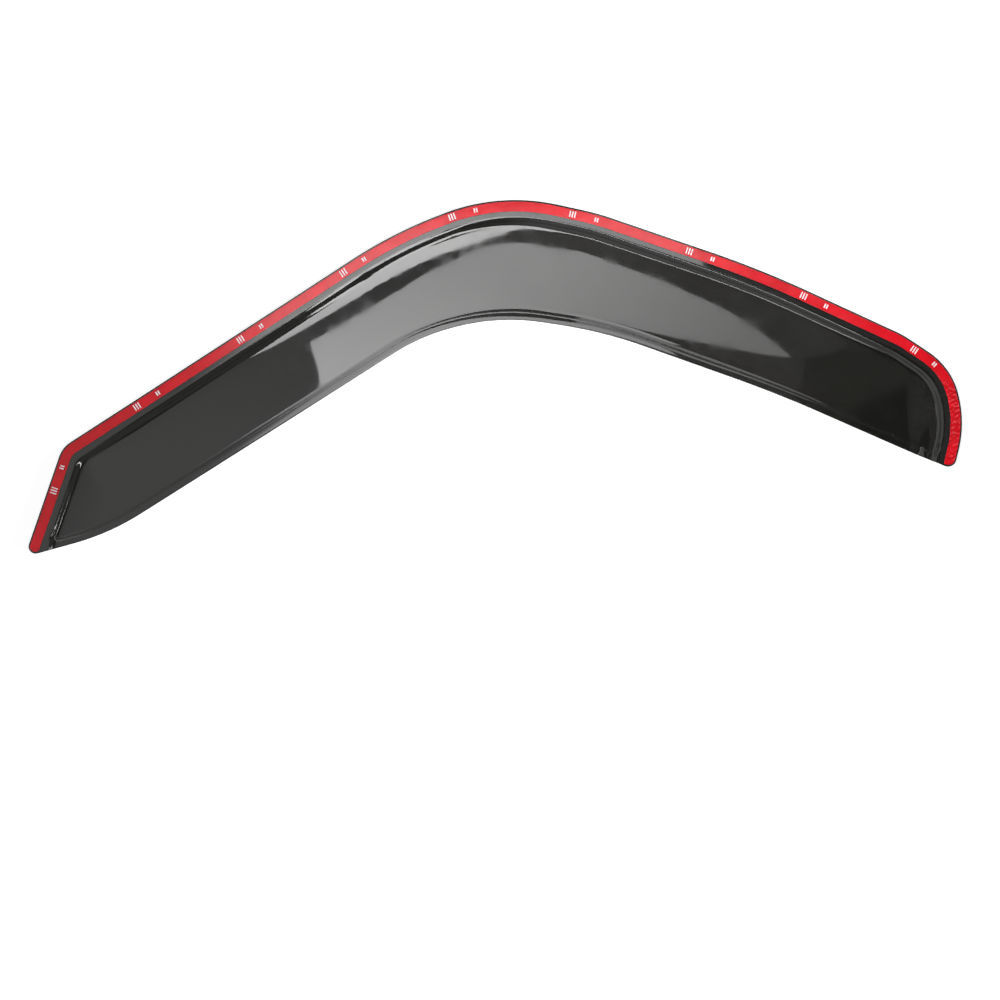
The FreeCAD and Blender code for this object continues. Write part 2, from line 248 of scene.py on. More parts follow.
def chain_distance(places, points, radii):
    """Signed distance from a rounded chain, positive on its right, which is inside the part."""
    best = np.full(len(places), FAR_OFF)
    for piece in chain_pieces(points, radii):
        offset = places - piece[1]
        if piece[0] == "run":
            along = piece[2] - piece[1]
            length = norm(along)
            along = along / max(length, SLACK)
            reach = offset @ along
            apart = offset @ np.array([along[1], -along[0]])
            near = (reach > -SLACK) & (reach < length + SLACK)
        else:
            side = copysign(1, piece[4])
            apart = (norm(offset, axis=1) - piece[2]) * side
            angle = np.degrees(np.arctan2(offset[:, 1], offset[:, 0])) - piece[3]
            swept = (angle * side + 180) % 360 - 180
            near = (swept > -SLACK) & (swept < abs(piece[4]) + SLACK)
        best = np.where(near & (np.abs(apart) < np.abs(best)), apart, best)
    return best


# %% The two edges and the outline
TIP_RADIUS_MIN = 1.0
RUN_PAST = 60.0
REAR_RUN_ON, FRONT_RUN_ON = 0.3, 0.6


def flange_chain(inset=0.0, least=0.0, ahead=RUN_PAST, behind=RUN_PAST):
    """The flange edge moved inwards and run on past both tips. No arc gets smaller than the least radius."""
    front = CORNERS[0] - direction(HEADINGS[0]) * ahead
    rear = CORNERS[-1] + direction(HEADINGS[-1]) * behind
    points = moved_chain([front] + CORNERS[1:-1] + [rear], inset)
    return points, [max(radius - inset, least) for radius in FLANGE_RADII]


def lower_chain():
    """The lower edge from rear to front, run on past both tips by a share of its last runs."""
    rear = CORNERS[-1] + (CORNERS[-1] - LOWER[0]) * REAR_RUN_ON
    front = CORNERS[0] + (CORNERS[0] - LOWER[-1]) * FRONT_RUN_ON
    return [rear] + LOWER + [front], LOWER_RADII


def outline_chain(inset):
    """The closed outline moved inwards, starting midway up the front end."""
    corners = CORNERS + LOWER
    radii = [FRONT_TIP_RADIUS] + FLANGE_RADII + [REAR_TIP_RADIUS] + LOWER_RADII
    looped = [corners[-1]] + corners + [corners[0]]
    moved = moved_chain(looped, inset)[1:-1]
    inner = []
    for index, radius in enumerate(radii):
        convex = turn_at(*looped[index:index + 3]) < 0
        inner.append(max(radius - inset, TIP_RADIUS_MIN) if convex else radius + inset)
    start = (moved[0] + moved[1]) / 2
    return [start] + moved[1:] + [moved[0], start], inner[1:] + [inner[0]]


def edge_distances(places):
    """Distances from the flange edge, the lower edge and the nearest edge of the outline."""
    return [chain_distance(places, *chain) for chain in (flange_chain(), lower_chain(), outline_chain(0.0))]


def ease(values, low, high):
    """Share of the way from low to high, with a soft start and end."""
    share = np.clip((values - low) / (high - low), 0, 1)
    return share * share * (3 - 2 * share)


print("arcs on the flange edge", len(FLANGE_RADII), "and on the lower edge", len(LOWER_RADII))

# %% [markdown]
# ## The pressed form
#
# The sheet is pressed before it is trimmed: a flat flange, a step over two fillets and a panel that dishes
# away and levels out. It could be modelled by hand as a cage under a Subdivision Surface, but gloss shows
# every unevenness of a cage. Its section is one rule everywhere, only with a shallower step at the front
# end, so the form is worked out instead. It is a dense grid that runs past the trimmed outline, with one
# section for each place along the flange edge, on the slow curve of a car door.

# %% Sizes of the section
SHEET = 2.8
FOAM = 1.1
FILM = 0.12
FLANGE_WIDTH, STEP_RUN = 17.5, 5.0
STEP_DEPTH, FRONT_STEP_DEPTH = 6.5, 3.6
STEP_GROWS_FROM, STEP_GROWS_TO = 0.5, 0.35
FILLET = 2.6
PANEL_SLOPE, PANEL_RADIUS, PANEL_HANDLE = 0.20, 330.0, 12.0
STEP_LINE_RADIUS = 20.0
ALONG_RADIUS, UPRIGHT_RADIUS = 8000.0, 6000.0

BLANK_FRONT, BLANK_REAR, BLANK_EDGE = 50.0, 45.0, 6.0
BLANK_REACHES = [(115.5, -13.6), (123.8, 0.0), (138.0, 0.0), (127.5, 0.0), (123.3, 0.0), (123.3, 0.0),
                 (108.0, 22.7), (76.5, 46.0)]
BLANK_END_REACH, BLANK_END_RAKE = 70.0, 60.0
BLANK_SPACING, BLANK_ARC_STEPS = 2.5, 14
SECTION_STEPS = [(0, 1, 2), (1, 3, 8), (3, 4, 3), (4, 6, 8), (6, 9, 30)]


# %% Where the blank ends
def blank_rail(inset):
    return flange_chain(inset, STEP_LINE_RADIUS, BLANK_FRONT, BLANK_REAR)


def door_curve(places):
    return -places[..., 0] ** 2 / (2 * ALONG_RADIUS) - places[..., 1] ** 2 / (2 * UPRIGHT_RADIUS)


def smooth_spline(keys, values, wanted):
    """Natural cubic spline through values at keys."""
    gaps, count = np.diff(keys), len(keys)
    system, right = np.eye(count), np.zeros((count, 2))
    for i in range(1, count - 1):
        system[i, i - 1:i + 2] = gaps[i - 1], 2 * (gaps[i - 1] + gaps[i]), gaps[i]
        right[i] = 6 * ((values[i + 1] - values[i]) / gaps[i] - (values[i] - values[i - 1]) / gaps[i - 1])
    bends = solve(system, right)
    i = np.clip(np.searchsorted(keys, wanted) - 1, 0, count - 2)
    gap = gaps[i][:, None]
    after = (keys[i + 1] - wanted)[:, None]
    before = (wanted - keys[i])[:, None]
    curve = (bends[i] * after ** 3 + bends[i + 1] * before ** 3) / (6 * gap)
    return curve + (values[i] / gap - bends[i] * gap / 6) * after + \
        (values[i + 1] / gap - bends[i + 1] * gap / 6) * before


def guide_points(lengths, counts):
    """Where each section of the blank ends, below the lower edge, on one smooth curve."""
    ends = np.cumsum(counts)
    marks = [0.0] + [(lengths[ends[i]] + lengths[ends[i + 1]]) / 2 for i in range(0, len(counts) - 1, 2)]
    marks += [lengths[-1] - BLANK_REAR, lengths[-1]]
    points = [blank_rail(BLANK_END_REACH)[0][0]]
    for index, (reach, rake) in enumerate(BLANK_REACHES):
        across = (HEADINGS[index] + HEADINGS[index + 1]) / 2 - 90 + rake
        points.append(CORNERS[index + 1] + direction(across) * reach)
    last = direction(HEADINGS[-1] - 90 + BLANK_END_RAKE) * BLANK_END_REACH
    rear = CORNERS[-1] + direction(HEADINGS[-1]) * BLANK_REAR
    points += [CORNERS[-1] + last, rear + last]
    return smooth_spline(np.array(marks), np.array(points), lengths)


# %% Press the blank
def press_blank():
    """Grid of points of the sheet's inner face: sections along the edge, rows down each section."""
    counts = piece_counts(*blank_rail(0.0), BLANK_SPACING, BLANK_ARC_STEPS)
    edge = chain_points(*blank_rail(0.0), counts)
    lengths = np.concatenate([[0.0], np.cumsum(norm(np.diff(edge, axis=0), axis=1))])
    guide = guide_points(lengths, counts)
    begins = BLANK_FRONT + FLANGE_RUNS[0][0] * STEP_GROWS_FROM
    finishes = BLANK_FRONT + FLANGE_RUNS[0][0] + FLANGE_RUNS[1][0] * STEP_GROWS_TO
    depth = FRONT_STEP_DEPTH + (STEP_DEPTH - FRONT_STEP_DEPTH) * ease(lengths, begins, finishes)

    top = FLANGE_WIDTH + STEP_RUN
    soft = FILLET / hypot(STEP_RUN, STEP_DEPTH)
    profile = [(-BLANK_EDGE, 0.0), (FLANGE_WIDTH - FILLET, 0.0), (FLANGE_WIDTH, 0.0),
               (FLANGE_WIDTH + STEP_RUN * soft, soft), (top - STEP_RUN * soft, 1 - soft), (top, 1.0),
               (top + FILLET, 1.0)]
    poles = []
    for inset, rise in profile:
        line = chain_points(*blank_rail(inset), counts)
        poles.append((line, depth * rise + max(inset - top, 0.0) * PANEL_SLOPE))
    start = poles[-1][0]
    square = start - poles[-2][0]
    square /= norm(square, axis=1, keepdims=True)
    span = norm(guide - start, axis=1)
    grip = np.minimum(span / 3, PANEL_HANDLE)
    handle = start + square * grip[:, None]
    lean = guide + (start - guide) / 3
    rest = norm(guide - lean, axis=1)
    length = grip + norm(lean - handle, axis=1) + rest
    first = depth + PANEL_SLOPE * FILLET
    last = first + PANEL_SLOPE * length - length ** 2 / (2 * PANEL_RADIUS)
    poles += [(handle, first + PANEL_SLOPE * grip),
              (lean, last - (PANEL_SLOPE - length / PANEL_RADIUS) * rest), (guide, last)]
    net = np.stack([np.column_stack([line[:, 0], FOAM + rise + door_curve(line), line[:, 1]])
                    for line, rise in poles], axis=1)
    rows = []
    for low, high, steps in SECTION_STEPS:
        degree = high - low
        for t in np.linspace(0, 1, steps + 1)[1 if rows else 0:]:
            weights = [comb(degree, k) * t ** k * (1 - t) ** (degree - k) for k in range(degree + 1)]
            rows.append(np.tensordot(net[:, low:high + 1], weights, axes=(1, 0)))
    return np.stack(rows, axis=1)


def grid_normals(grid):
    normals = np.cross(np.gradient(grid, axis=0), np.gradient(grid, axis=1))
    normals /= norm(normals, axis=2, keepdims=True)
    return normals * -np.sign(normals[..., 1:2])


BLANK = press_blank()
BLANK_NORMALS = grid_normals(BLANK)
print("blank", BLANK.shape[0], "sections of", BLANK.shape[1], "points")

# %% [markdown]
# ## Reading heights off the blank
#
# The trimmed sheet is a flat net of triangles that is lifted onto the pressed form. A Shrinkwrap modifier
# could do it, but it gives no slopes. A ray along Y finds the height of each point, on the inner face or on
# the outer face one sheet thickness away. The slope there comes from the blank's own normals, so reflections
# stay as clean as on the real, polished sheet.

# %% Height reader
FAR_INBOARD = 500.0
OUTER_TRIM = 0.03


class Form:
    """One face of the pressed sheet, which tells its height and slope at any place."""

    def __init__(self, thickness):
        self.points = BLANK - BLANK_NORMALS * thickness
        self.normals = BLANK_NORMALS.reshape(-1, 3)
        count, rows = BLANK.shape[:2]
        first = (np.arange(count - 1)[:, None] * rows + np.arange(rows - 1)).ravel()
        self.faces = np.stack([first, first + 1, first + rows + 1, first + rows], axis=1).tolist()
        self.corners = [Vector(point) for point in self.points.reshape(-1, 3)]
        self.tree = BVHTree.FromPolygons(self.corners, self.faces)

    def read(self, places):
        heights, slopes = np.zeros(len(places)), np.zeros((len(places), 2))
        for index, (x, z) in enumerate(places):
            spot, normal, face, far = self.tree.ray_cast(Vector((x, -FAR_INBOARD, z)), -TOWARDS)
            if face is None:
                raise ValueError(f"the blank does not cover {x:.1f}, {z:.1f}")
            ring = self.faces[face]
            weights = poly_3d_calc([self.corners[corner] for corner in ring], spot)
            soft = np.array(weights) @ self.normals[ring]
            heights[index] = spot.y
            slopes[index] = -soft[0] / soft[1], -soft[2] / soft[1]
        return heights, slopes


INNER_FORM, OUTER_FORM = Form(0.0), Form(SHEET - OUTER_TRIM)
print("height at the crown", INNER_FORM.read([(0.0, 0.0)])[0].round(3), "mm")

# %% [markdown]
# ## Lip, groove and softened rim
#
# Along the lower edge the inner face carries a lip with a rounded top and, beside it, a groove and a small
# cove. At both ends they turn a tight corner, run up the step and die into the flange, so the dish has
# rounded corners. The trimmed rim is broken by a small radius all round. Bevels and loop cuts could make all
# this, but they would disturb the form below. So it is one sum of small heights that depend only on the
# distances from the edges.

# %% Sizes of the relief
LIP_WIDTH, LIP_RISE, LIP_CROWN = 7.0, 0.9, 0.4
LIP_CREST = 0.25
GROOVE_WIDTH, GROOVE_DEPTH = 1.4, 0.7
COVE_WIDTHS, COVE_SLOPE = (2.0, 5.0), 0.09
COVE_GROWS = (-220.0, 240.0)
LIP_FALL = 0.45
RIM_RADIUS = 0.7
DISH_CORNER_RADIUS = 9.0
LIP_END_INSET = 0.8
LIP_ENDS = (FLANGE_WIDTH - 1.5, FLANGE_WIDTH + 2.0)
SLOPE_STEP = 0.004


# %% Small relief
def rim_drop(from_edge):
    share = np.clip(1 - from_edge / RIM_RADIUS, 0, 1)
    return RIM_RADIUS * (1 - np.sqrt(np.clip(1 - share * share, 0, 1)))


def rounded_corner(first, second, radius):
    """Distance inside two edges at once, with their corner rounded."""
    short = np.hypot(np.clip(radius - first, 0, None), np.clip(radius - second, 0, None))
    return np.where(short > 0, radius - short, np.minimum(first, second))


def inner_relief(places):
    """Height added to the inner face, towards the sheet's middle."""
    from_flange, from_lower, from_edge = edge_distances(places)
    groove_end = LIP_WIDTH + GROOVE_WIDTH
    in_dish = rounded_corner(from_flange - FLANGE_WIDTH - LIP_END_INSET, from_lower - LIP_WIDTH,
                             DISH_CORNER_RADIUS)
    across = LIP_WIDTH + in_dish
    bead = LIP_CROWN * ((from_lower / LIP_WIDTH - LIP_CREST) / (1 - LIP_CREST)) ** 2
    lip = (bead - LIP_RISE) * (1 - ease(across, LIP_WIDTH - LIP_FALL, LIP_WIDTH))
    lip *= 1 - ease(from_lower, LIP_WIDTH + DISH_CORNER_RADIUS / 2, LIP_WIDTH + DISH_CORNER_RADIUS)
    groove = GROOVE_DEPTH * ease(across, LIP_WIDTH - LIP_FALL, LIP_WIDTH) \
        * (1 - ease(across, groove_end - LIP_FALL, groove_end))
    width = COVE_WIDTHS[0] + (COVE_WIDTHS[1] - COVE_WIDTHS[0]) * ease(places[:, 0], *COVE_GROWS)
    past = np.clip(1 - (across - groove_end) / width, 0, 1)
    cove = -COVE_SLOPE * width * past ** 2 * ease(across, groove_end - LIP_FALL, groove_end)
    near = 1 - ease(from_lower, groove_end + DISH_CORNER_RADIUS / 2, groove_end + 1.5 * DISH_CORNER_RADIUS)
    return (lip + (groove + cove) * near) * ease(from_flange, *LIP_ENDS) + rim_drop(from_edge)


def outer_relief(places):
    return -rim_drop(edge_distances(places)[2])


def relief_slopes(relief, places):
    slopes = []
    for step in (np.array([SLOPE_STEP, 0.0]), np.array([0.0, SLOPE_STEP])):
        slopes.append((relief(places + step) - relief(places - step)) / (2 * SLOPE_STEP))
    return np.stack(slopes, axis=1)


# %% [markdown]
# ## A flat net of triangles
#
# The net needs rows of points wherever the surface turns fast: along the rim, the lip, the groove and the
# step. Between them the panel is slow and takes a wide spacing. Drawn by hand as quads, the rows of the two
# edges would have to be woven together at the tips. Here each row is a chain at its own inset, and a
# constrained triangulation keeps every row as real edges and joins them all.

# %% Sizes of the net
RING_SPACING = 2.6
RIM_ANGLES = (0.0, 22.5, 45.0, 67.5, 90.0)
FLANGE_ROWS = [4.0, 9.0, 13.0] + list(np.arange(14.9, 25.4, 0.65)) + [27.5, 30.5]
LOWER_ROWS = [1.8, 3.4, 5.0, 6.1, 6.5, 6.62, 6.75, 6.87, 7.0, 7.35, 7.7, 7.95, 8.1, 8.25, 8.4,
              9.0, 9.8, 10.9, 12.2, 13.6]
PANEL_SPACING = 4.2
OUTLINE_TRIM = 0.06
NET_CLEARANCE, ROW_SLACK = 0.35, 0.01
MERGE_WITHIN = 1e-4


# %% Net helpers
class Net:
    """Flat points and the edges that the triangulation has to keep."""

    def __init__(self):
        self.points, self.edges = [], []

    def add_row(self, places, keep=None, closed=False):
        """Points in a row, joined by edges wherever two neighbours are both kept."""
        keep = np.ones(len(places), bool) if keep is None else keep
        numbers = np.full(len(places), -1)
        for index in np.flatnonzero(keep):
            numbers[index] = len(self.points)
            self.points.append(places[index])
        last = len(places) if closed else len(places) - 1
        for index in range(last):
            pair = int(numbers[index]), int(numbers[(index + 1) % len(places)])
            if min(pair) >= 0:
                self.edges.append(pair)

    def triangles(self):
        """Triangles inside the first row, which is the outline."""
        flat = [Vector(point) for point in self.points]
        points, edges, faces = delaunay_2d_cdt(flat, self.edges, [], 1, MERGE_WITHIN)[:3]
        return np.array([tuple(point) for point in points]), faces


def closed_ring(inset, spacing):
    counts = piece_counts(*outline_chain(0.0), spacing)
    return chain_points(*outline_chain(inset), counts)[:-1]


def thinned(places, spacing):
    """The points that are the first in their cell of a square grid."""
    cells = np.floor(places / spacing).astype(int)
    return places[np.unique(cells, axis=0, return_index=True)[1]]


# %% Net of the sheet
def shell_net():
    net = Net()
    for angle in RIM_ANGLES:
        inset = OUTLINE_TRIM + RIM_RADIUS * (1 - cos(radians(angle)))
        net.add_row(closed_ring(inset, RING_SPACING), closed=True)
    counts = piece_counts(*flange_chain(), RING_SPACING)
    for inset in FLANGE_ROWS:
        row = chain_points(*flange_chain(inset, TIP_RADIUS_MIN), counts)
        from_flange, from_lower, from_edge = edge_distances(row)
        net.add_row(row, from_edge > RIM_RADIUS + NET_CLEARANCE)
    for inset in LOWER_ROWS:
        row = closed_ring(inset, RING_SPACING)
        from_flange, from_lower, from_edge = edge_distances(row)
        net.add_row(row, (from_lower < inset + ROW_SLACK) & (from_flange > inset + NET_CLEARANCE))
    places = thinned(BLANK[:, :, [0, 2]].reshape(-1, 2), PANEL_SPACING)
    from_flange, from_lower, from_edge = edge_distances(places)
    clear = PANEL_SPACING / 2
    inside = (from_flange > FLANGE_ROWS[-1] + clear) & (from_lower > LOWER_ROWS[-1] + clear)
    net.points += list(places[inside])
    return net


# %% [markdown]
# ## From net to sheet
#
# The same net is lifted twice, to the inner and to the outer face, and the two are joined round the rim. A
# Solidify modifier would leave the lip's relief on both faces, and the real outer side is smooth. Each vertex
# gets the normal that its form and relief work out to. Left to itself, Blender would average the faces round
# it, and long thin triangles would show as ripples in the gloss.

# %% Closed meshes
def add_mesh(name, points, faces):
    mesh = bpy.data.meshes.new(name)
    mesh.from_pydata(points, [], faces)
    return add_object(name, mesh)


def lifted(places, level, slopes):
    """Vertices and unit normals of a height field over the side view."""
    vertices = np.column_stack([places[:, 0], level, places[:, 1]]) * MM
    normals = np.column_stack([slopes[:, 0], -np.ones(len(places)), slopes[:, 1]])
    return vertices, normals / norm(normals, axis=1, keepdims=True)


def side_area(vertices, face):
    """Positive where the face turns so that it looks inboard, to -Y."""
    a, b, c = (vertices[corner] for corner in face)
    return (b[0] - a[0]) * (c[2] - a[2]) - (b[2] - a[2]) * (c[0] - a[0])


def two_sided(name, faces, inner, outer):
    """Closed mesh of two lifted faces and the wall between their rims."""
    count = len(inner[0])
    facing = [face if side_area(inner[0], face) > 0 else face[::-1] for face in faces]
    edges = dict.fromkeys(edge for a, b, c in facing for edge in ((a, b), (b, c), (c, a)))
    rim = [edge for edge in edges if edge[::-1] not in edges]
    polygons = [tuple(face) for face in facing]
    polygons += [tuple(count + corner for corner in face[::-1]) for face in facing]
    polygons += [(b, a, count + a, count + b) for a, b in rim]
    piece = add_mesh(name, np.concatenate([inner[0], outer[0]]).tolist(), polygons)
    piece.data.polygons.foreach_set("use_smooth", [True] * len(polygons))
    piece.data.normals_split_custom_set_from_vertices(np.concatenate([inner[1], outer[1]]).tolist())
    print(name, 2 * count, "vertices,", sum(len(p) - 2 for p in polygons), "triangles, rim", len(rim))
    return piece


# %% Sheet mesh
def make_shell():
    places, faces = shell_net().triangles()
    heights, slopes = INNER_FORM.read(places)
    inner = lifted(places, heights + inner_relief(places), slopes + relief_slopes(inner_relief, places))
    heights, slopes = OUTER_FORM.read(places)
    outer = lifted(places, heights + outer_relief(places), slopes + relief_slopes(outer_relief, places))
    return two_sided("acrylic_sheet", faces, inner, (outer[0], -outer[1]))


shell = make_shell()

# %% [markdown]
# ## Foam tape and red film
#
# The tape is a plain strip that keeps 1.2 mm from the rim. A curve with a flat bevel could carry it, but its
# ends follow the outline, so it is cut from the same chains as the sheet. The film is 0.6 mm narrower along
# its outer edge, where a dark line of foam shows beside it. It lay flat when it was applied, but round the
# tight rear corner it had too much length on the inside of the bend and puckered. Those puckers are a few
# waves across the strip, strongest at the rear end, and they go into the film's height like any relief.

# %% Net of a strip
TAPE_INNER = TAPE_INSET + TAPE_WIDTH
STRIP_SPACING = 1.6
STRIP_ROWS = 6


def strip_net(inset):
    net = Net()
    counts = piece_counts(*flange_chain(), STRIP_SPACING)
    ring = closed_ring(inset, STRIP_SPACING)
    inside = chain_distance(ring, *flange_chain()) < TAPE_INNER
    first = int(np.flatnonzero(inside & ~np.roll(inside, 1))[0])
    outer = np.roll(ring, -first, axis=0)[:inside.sum()]
    inner = chain_points(*flange_chain(TAPE_INNER), counts)
    inner = inner[edge_distances(inner)[2] > inset]
    net.add_row(np.concatenate([outer, inner[::-1]]), closed=True)
    for row in range(1, STRIP_ROWS):
        places = chain_points(*flange_chain(TAPE_INSET + TAPE_WIDTH * row / STRIP_ROWS), counts)
        net.add_row(places, edge_distances(places)[2] > inset + NET_CLEARANCE)
    return net


# %% Puckers of the film
PUCKER_RISE, PUCKER_FLOOR = 0.6, 0.2
PUCKER_WAVES = [(5.3, 18.0, 0.3), (8.9, -31.0, 1.9), (3.7, 47.0, 4.1)]     # wavelength, lean, phase
PUCKER_FROM, PUCKER_TO = -12.0, -48.0
PUCKER_AFTER = 440.0


def no_relief(places):
    return np.zeros(len(places))


def pucker_relief(places):
    """Waves in the film over the rear corner, towards the viewer."""
    reach = ease(-places[:, 1], -PUCKER_FROM, -PUCKER_TO) * (places[:, 0] > PUCKER_AFTER)
    height = np.zeros(len(places))
    for length, lean, phase in PUCKER_WAVES:
        along = places @ direction(HEADINGS[-1] + lean)
        height += np.maximum(np.sin(along * 2 * pi / length + phase), -PUCKER_FLOOR) / len(PUCKER_WAVES)
    return -PUCKER_RISE * reach * (height + PUCKER_FLOOR)


# %% Strip meshes
SKIN_GAP = 0.02
FILM_INSET = 1.8


def make_strip(name, inset, low, high, relief):
    """Strip between two heights over the flange face, low being the side that looks inboard."""
    places, faces = strip_net(inset).triangles()
    slopes = np.column_stack([-places[:, 0] / ALONG_RADIUS, -places[:, 1] / UPRIGHT_RADIUS])
    level = door_curve(places)
    inner = lifted(places, level + low + relief(places), slopes + relief_slopes(relief, places))
    outer = lifted(places, level + high, slopes)
    return two_sided(name, faces, inner, (outer[0], -outer[1]))


foam = make_strip("foam_strip", TAPE_INSET, 0.0, FOAM - SKIN_GAP, no_relief)
film = make_strip("red_film", FILM_INSET, -FILM, -SKIN_GAP, pucker_relief)

# %% [markdown]
# ## Printed marks on the film
#
# The film carries small white marks at a steady pitch, plain bars here. An array of bars on a curve would
# bend them. They follow a path, which is what Geometry Nodes do best: points along a curve, a few small bars
# on each, all of it made real and then laid onto the curved face. Every size is a named input of the tree,
# and the result is turned into a plain mesh at the end.

# %% Node helpers
def new_socket(tree, name, kind, in_out="INPUT"):
    return tree.interface.new_socket(name=name, in_out=in_out, socket_type="NodeSocket" + kind)


def add_node(tree, kind, inputs=None, **settings):
    """A node with its settings. An input is a value, or a socket to link."""
    node = tree.nodes.new(kind)
    for name, value in settings.items():
        setattr(node, name, value)
    for name, value in (inputs or {}).items():
        if isinstance(value, bpy.types.NodeSocket):
            tree.links.new(value, node.inputs[name])
        else:
            node.inputs[name].default_value = value
    return node


def calculate(tree, operation, first, second):
    return add_node(tree, "ShaderNodeMath", {0: first, 1: second}, operation=operation).outputs[0]


# %% Marks tree
MARK_INPUTS = {"Path": "Object", "Material": "Material", "Groups": "Int", "Bars": "Int"}
MARK_LENGTHS = ("Start", "Pitch", "Bar pitch", "Length", "Width", "Thickness", "Lift", "Along radius",
                "Upright radius")


def marks_tree():
    tree = bpy.data.node_groups.new("marks_along_tape", "GeometryNodeTree")
    for name in MARK_LENGTHS:
        new_socket(tree, name, "Float")
    for name, kind in MARK_INPUTS.items():
        new_socket(tree, name, kind)
    new_socket(tree, "Geometry", "Geometry", "OUTPUT")
    given = tree.nodes.new("NodeGroupInput").outputs

    size = add_node(tree, "ShaderNodeCombineXYZ",
                    {"X": given["Width"], "Y": given["Thickness"], "Z": given["Length"]})
    bar = add_node(tree, "GeometryNodeMeshCube",
                   {"Size": size.outputs[0], "Vertices X": 2, "Vertices Y": 2, "Vertices Z": 6})
    shift = add_node(tree, "ShaderNodeCombineXYZ", {"X": given["Bar pitch"]})
    row = add_node(tree, "GeometryNodeMeshLine", {"Count": given["Bars"], "Offset": shift.outputs[0]})
    group = add_node(tree, "GeometryNodeInstanceOnPoints",
                     {"Points": row.outputs[0], "Instance": bar.outputs["Mesh"]})

    path = add_node(tree, "GeometryNodeObjectInfo", {"Object": given["Path"]}, transform_space="RELATIVE")
    span = calculate(tree, "MULTIPLY", given["Pitch"], calculate(tree, "SUBTRACT", given["Groups"], 1.0))
    end = calculate(tree, "ADD", given["Start"], span)
    trimmed = add_node(tree, "GeometryNodeTrimCurve",
                       {0: path.outputs["Geometry"], 4: given["Start"], 5: end}, mode="LENGTH")
    points = add_node(tree, "GeometryNodeCurveToPoints",
                      {"Curve": trimmed.outputs[0], "Count": given["Groups"]}, mode="COUNT")
    aim = add_node(tree, "FunctionNodeAlignRotationToVector", {"Vector": points.outputs["Tangent"]},
                   axis="X", pivot_axis="Y")
    placed = add_node(tree, "GeometryNodeInstanceOnPoints",
                      {"Points": points.outputs["Points"], "Instance": group.outputs[0],
                       "Rotation": aim.outputs[0]})
    real = add_node(tree, "GeometryNodeRealizeInstances", {"Geometry": placed.outputs[0]})

    position = tree.nodes.new("GeometryNodeInputPosition").outputs[0]
    where = add_node(tree, "ShaderNodeSeparateXYZ", {"Vector": position})
    falls = []
    for axis, radius in (("X", "Along radius"), ("Z", "Upright radius")):
        square = calculate(tree, "MULTIPLY", where.outputs[axis], where.outputs[axis])
        falls.append(calculate(tree, "DIVIDE", square, calculate(tree, "MULTIPLY", given[radius], 2.0)))
    inboard = calculate(tree, "ADD", calculate(tree, "ADD", *falls), given["Lift"])
    offset = add_node(tree, "ShaderNodeCombineXYZ", {"Y": calculate(tree, "MULTIPLY", inboard, -1.0)})
    laid = add_node(tree, "GeometryNodeSetPosition",
                    {"Geometry": real.outputs[0], "Offset": offset.outputs[0]})
    inked = add_node(tree, "GeometryNodeSetMaterial",
                     {"Geometry": laid.outputs[0], "Material": given["Material"]})
    add_node(tree, "NodeGroupOutput", {"Geometry": inked.outputs[0]})
    return tree


# %% Lay the marks
MARK_GROUPS = 9
FIRST_MARK, SECOND_MARK = 58.0, 83.0
ALL_MARKS = {"Pitch": 118.0, "Thickness": 0.03, "Lift": FILM + 0.005, "Along radius": ALONG_RADIUS,
             "Upright radius": UPRIGHT_RADIUS}
MARK_KINDS = {
    "film_marks_wide": (3, {"Start": FIRST_MARK, "Bar pitch": 2.5, "Length": 6.2, "Width": 1.2}),
    "film_marks_narrow": (2, {"Start": SECOND_MARK, "Bar pitch": 2.3, "Length": 4.2, "Width": 1.3}),
}


def tape_path():
    """Centre line of the tape as a curve, from the front end to the rear end."""
    counts = piece_counts(*flange_chain(), STRIP_SPACING)
    line = chain_points(*flange_chain(TAPE_INSET + TAPE_WIDTH / 2), counts)
    line = line[edge_distances(line)[2] > TAPE_INSET]
    curve = bpy.data.curves.new("tape_path", "CURVE")
    curve.dimensions = "3D"
    spline = curve.splines.new("POLY")
    spline.points.add(len(line) - 1)
    for point, (x, z) in zip(spline.points, line):
        point.co = (x * MM, 0.0, z * MM, 1.0)
    return add_object("tape_path", curve)


def lay_marks(name, tree, path, material, bars, lengths):
    """Runs the marks tree once and keeps its result as a plain mesh."""
    carrier = add_object(name, bpy.data.meshes.new(name))
    modifier = carrier.modifiers.new("marks", "NODES")
    modifier.node_group = tree
    values = {label: length * MM for label, length in (ALL_MARKS | lengths).items()}
    values |= {"Path": path, "Material": material, "Groups": MARK_GROUPS, "Bars": bars}
    for item in tree.interface.items_tree:
        if item.item_type == "SOCKET" and item.in_out == "INPUT":
            modifier[item.identifier] = values[item.name]
    bpy.context.view_layer.update()
    evaluated = carrier.evaluated_get(bpy.context.evaluated_depsgraph_get())
    mesh = bpy.data.meshes.new_from_object(evaluated)
    carrier.modifiers.remove(modifier)
    carrier.data = mesh
    print(name, len(mesh.polygons), "faces")
    return carrier


# %% [markdown]
# ## Shared surface effects
#
# No surface here is perfectly even. Two effects are used by every material: a soft unevenness that bends
# reflections a little, and faint marks of handling that dull the gloss in places. They could be painted as
# image maps, but noise needs no picture and has no seams. Each is a node group with named inputs, so it is
# made once.

# %% Node groups
def new_group(name, inputs, outputs):
    tree = bpy.data.node_groups.new(name, "ShaderNodeTree")
    for label, value in inputs.items():
        new_socket(tree, label, "Float").default_value = value
    for label in outputs:
        new_socket(tree, label, "Float", "OUTPUT")
    return tree, tree.nodes.new("NodeGroupInput").outputs, tree.nodes.new("NodeGroupOutput").inputs


